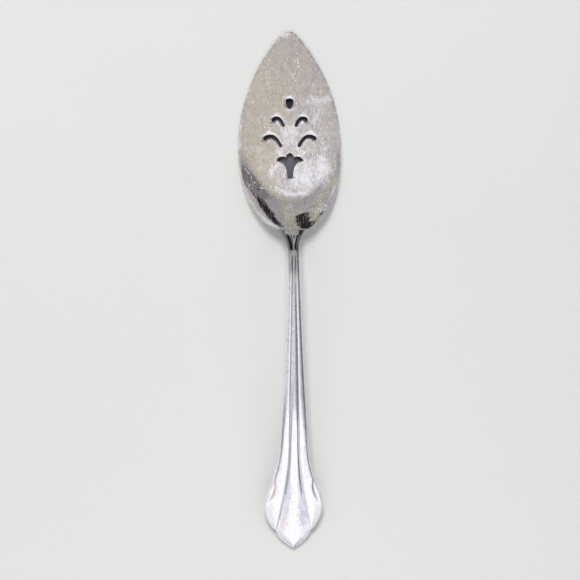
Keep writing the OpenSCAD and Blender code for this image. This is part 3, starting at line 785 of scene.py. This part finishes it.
# Table. A plain pale surface, not part of the object, with a dark inlay of painted shade under the
# piercing so that the holes look down into shade.
table_r, inlay_d, below = 9, 0.0011, 0.00005
inlay_half, inlay_y, inlay_half_l, sides = 18, 76, 24, 64
turn = np.linspace(0, 2 * math.pi, sides, endpoint=False)
well = np.stack([inlay_half * np.cos(turn), inlay_y + inlay_half_l * np.sin(turn)], 1) * MM
far = table_r * np.stack([np.cos(turn), np.sin(turn)], 1)
table_points = [(*p, 0) for p in far] + [(*p, 0) for p in well] + [(*p, -inlay_d) for p in well]
table_faces = [tuple(2 * sides + i for i in range(sides))]
for i in range(sides):
    j = (i + 1) % sides
    for ring in (0, sides):
        table_faces.append((ring + i, ring + j, ring + sides + j, ring + sides + i))
table_mesh = bpy.data.meshes.new("table")
table_mesh.from_pydata(table_points, [], table_faces)
table = bpy.data.objects.new("table", table_mesh)
bpy.context.scene.collection.objects.link(table)
table.location.z = -below
pale, tree, shader = material("pale_table")
place_on = add(tree, "ShaderNodeTexCoord").outputs["Object"]
noise = grain(tree, place_on, (5, 5, 5))
tree.links.new(blend(tree, noise, (0.795, 0.8, 0.78), (0.825, 0.83, 0.81)), shader.inputs["Base Color"])
shader.inputs["Roughness"].default_value = 0.7
shade_inlay, tree, shader = material("painted_shade_inlay")
place_on = add(tree, "ShaderNodeTexCoord").outputs["Object"]
colour = blend(tree, grain(tree, place_on, (900, 900, 900)), (0.115, 0.112, 0.137), (0.205, 0.2, 0.235))
# Painted shadow: the inlay is darkest under the bud
colour = blend(tree, patch(tree, place_on, (0, 93.5), (3.6, 4.2), 0.85), colour, (0.03, 0.03, 0.035))
tree.links.new(colour, shader.inputs["Base Color"])
shader.inputs["Roughness"].default_value = 0.9
shader.inputs["Specular IOR Level"].default_value = 0.1
table_mesh.materials.append(pale)
table_mesh.materials.append(shade_inlay)
table_mesh.polygons[0].material_index = 1

# Surroundings. A warm ceiling over the blade, greyer walls behind its tip, a bright sheet hung beyond the
# handle and a few dark panels, all mirrored in the metal. A large soft box behind the tip, six round the
# table and a small one at the handle's end give the light.
world = bpy.data.worlds.new("studio")
bpy.context.scene.world = world
world.use_nodes = True
tree = world.node_tree
toward = add(tree, "ShaderNodeTexCoord").outputs["Generated"]
crosswise, lengthwise, height = add(tree, "ShaderNodeSeparateXYZ", Vector=toward).outputs
sky = ramp(tree, plus(tree, times(tree, lengthwise, 0.5), 0.5),
           (0.0, (0.7, 0.685, 0.725)), (0.36, (0.73, 0.715, 0.755)), (0.46, (0.73, 0.705, 0.755)),
           (0.495, (0.53, 0.5, 0.5)), (0.53, (0.585, 0.543, 0.487)), (0.552, (0.515, 0.48, 0.432)),
           (0.57, (0.52, 0.485, 0.44)), (0.615, (0.38, 0.355, 0.355)), (0.74, (0.41, 0.395, 0.375)),
           (0.8, (0.46, 0.445, 0.385)), (1.0, (0.34, 0.33, 0.28)))


def over(colour, *masks):
    """The surroundings with a colour laid over them where all the masks are."""
    mask = masks[0]
    for other in masks[1:]:
        mask = times(tree, mask, other)
    return blend(tree, mask, sky, colour)


# Walls behind the tip, then to the left and the right
behind_tip = level(tree, lengthwise, 0.12, 0.2)
sky = over((0.335, 0.325, 0.365), level(tree, crosswise, 0.2, 0.27), behind_tip)
sky = over((0.38, 0.36, 0.395), level(tree, crosswise, -0.05, -0.11), behind_tip)
sky = over((0.43, 0.415, 0.35), level(tree, crosswise, -0.15, -0.21), behind_tip)
sky = over((0.455, 0.44, 0.475), level(tree, crosswise, -0.39, -0.46))
sky = over((0.46, 0.44, 0.49), level(tree, crosswise, 0.5, 0.58))
# Walls beside the handle: pale and partly shaded on the left, darker on the right
beside = level(tree, lengthwise, 0.04, -0.03)
sky = over((0.74, 0.72, 0.78), level(tree, crosswise, -0.28, -0.45), beside)
sky = over((0.43, 0.42, 0.47), level(tree, lengthwise, -0.18, -0.21), level(tree, lengthwise, -0.3, -0.27),
           level(tree, crosswise, -0.25, -0.35))
right_wall = blend(tree, level(tree, lengthwise, -0.2, -0.33), (0.42, 0.405, 0.46), (0.58, 0.565, 0.62))
sky = over(right_wall, level(tree, crosswise, 0.28, 0.45), beside)
sky = over((0.25, 0.24, 0.28), level(tree, crosswise, 0.58, 0.8), beside)
# Pale strips that the blade's bevel mirrors
edge_on = times(tree, level(tree, lengthwise, -0.03, 0.02), level(tree, lengthwise, 0.2, 0.12))
sky = over((0.7, 0.685, 0.67), level(tree, crosswise, -0.45, -0.6), edge_on)
sky = over((0.62, 0.61, 0.63), level(tree, crosswise, 0.6, 0.75), edge_on)
# The bright sheet, narrower toward its bottom
aside = calc(tree, "ABSOLUTE", minus(tree, crosswise, 0.12))
sheet_width = blend(tree, level(tree, lengthwise, -0.33, -0.38), level(tree, aside, 0.47, 0.32),
                    level(tree, aside, 0.25, 0.14))
sky = over((1.13, 1.13, 1.13), level(tree, lengthwise, -0.235, -0.255), sheet_width)
# Low down: paler toward the tip, darker at both sides, and a dark foot beyond the tip
low = level(tree, height, 0.45, 0.3)
sky = over((0.58, 0.575, 0.6), low, level(tree, lengthwise, 0.92, 0.8), level(tree, lengthwise, 0.25, 0.4))
sky = over((0.16, 0.16, 0.19), low, level(tree, crosswise, 0.3, 0.6), beside)
sky = over((0.42, 0.41, 0.47), low, level(tree, crosswise, -0.3, -0.6), beside)
sky = over((0.1, 0.1, 0.11), level(tree, height, 0.17, 0.08), level(tree, lengthwise, 0.05, 0.25))


def panel(azimuth, from_above, inner, outer):
    """A mask round one direction, in degrees."""
    a, b = math.radians(azimuth), math.radians(from_above)
    axis = (math.cos(a) * math.sin(b), math.sin(a) * math.sin(b), math.cos(b))
    near = add(tree, "ShaderNodeVectorMath", set_operation="DOT_PRODUCT", at0=toward, at1=axis)
    return level(tree, near.outputs["Value"], math.cos(math.radians(outer)), math.cos(math.radians(inner)))


# Dark panels as azimuth, angle from above, inner and outer radius in degrees, and weight. Up to azimuth 70
# they make the long band at the dish's left, and after it the dark block and its arm at the right.
dark_panels = (
    (32, 26, 3, 6, 0.5), (32, 32, 4, 6, 0.55), (34, 37, 4, 6, 0.52), (34.6, 42, 0.8, 2, 0.65),
    (35.8, 44.5, 1, 2.2, 0.85), (38, 46, 1.2, 2.6, 0.95), (40.5, 41, 2.5, 5, 0.9), (44.5, 46, 4.5, 6.5, 1),
    (50, 51, 6, 8, 1), (57, 58.5, 5, 7, 1), (64, 64, 4, 6, 1), (70, 68, 2.5, 4.5, 0.7),
    (96, 43, 6, 8, 1), (97, 52, 7, 9, 1), (97, 60, 6, 8, 1), (98.5, 67, 4.5, 7, 1), (102.5, 70, 4, 6, 1),
    (104, 64, 3.5, 5.5, 1), (107.5, 66.5, 2.5, 4.5, 1), (111.5, 64.5, 1.3, 3, 0.75),
    (116, 61.5, 1.2, 2.5, 0.5), (120.3, 58.5, 1.8, 3, 0.95))
dark = None
for azimuth, from_above, inner, outer, weight in dark_panels:
    spot = times(tree, panel(azimuth, from_above, inner, outer), weight)
    dark = spot if dark is None else most(tree, dark, spot)
sky = over((0.02, 0.02, 0.025), dark)
background = tree.nodes["Background"]
tree.links.new(sky, background.inputs["Color"])
# The metal mirrors it in full, but dull surfaces take only a little light from it
diffuse_ray = add(tree, "ShaderNodeLightPath").outputs["Is Diffuse Ray"]
tree.links.new(level(tree, diffuse_ray, 0.0, 1.0, 1.0, 0.15), background.inputs["Strength"])


def softbox(name, size, energy, azimuth, distance, height, aim=(0, 0, 0)):
    """A square lamp that faces a point, and is seen neither by the camera nor in the metal."""
    lamp = bpy.data.lights.new(name, "AREA")
    lamp.size, lamp.energy = size, energy
    box = bpy.data.objects.new(name, lamp)
    bpy.context.scene.collection.objects.link(box)
    turn = math.radians(azimuth)
    box.location = (distance * math.cos(turn), distance * math.sin(turn), height)
    box.rotation_euler = (Vector(aim) - box.location).to_track_quat("-Z", "Y").to_euler()
    box.visible_camera = box.visible_glossy = False


softbox("key_light", 0.8, 30.0, 105, 1.35, 1.75)
for i in range(6):
    softbox(f"fill_light_{i}", 1.0, 2.6, 60 * i + 30, 1.3, 0.92)
softbox("front_light", 0.4, 0.5, 270, 0.5, 0.25, (0, -0.24, 0))

# Camera. Almost straight above, leaning a little to the left, with a long lens.
camera_data = bpy.data.cameras.new("camera")
camera_data.lens, camera_data.sensor_width = 148.2, 36
camera = bpy.data.objects.new("camera", camera_data)
bpy.context.scene.collection.objects.link(camera)
lean, roll, distance, shift = math.radians(6.69), math.radians(0.46), 1.2019, -0.0004
turned = Matrix.Rotation(-lean, 4, "Y") @ Matrix.Rotation(-roll, 4, "Z")
camera.matrix_world = Matrix.Translation(turned @ Vector((shift, shift, distance))) @ turned
bpy.context.scene.camera = camera
bpy.context.scene.view_settings.view_transform = "Standard"
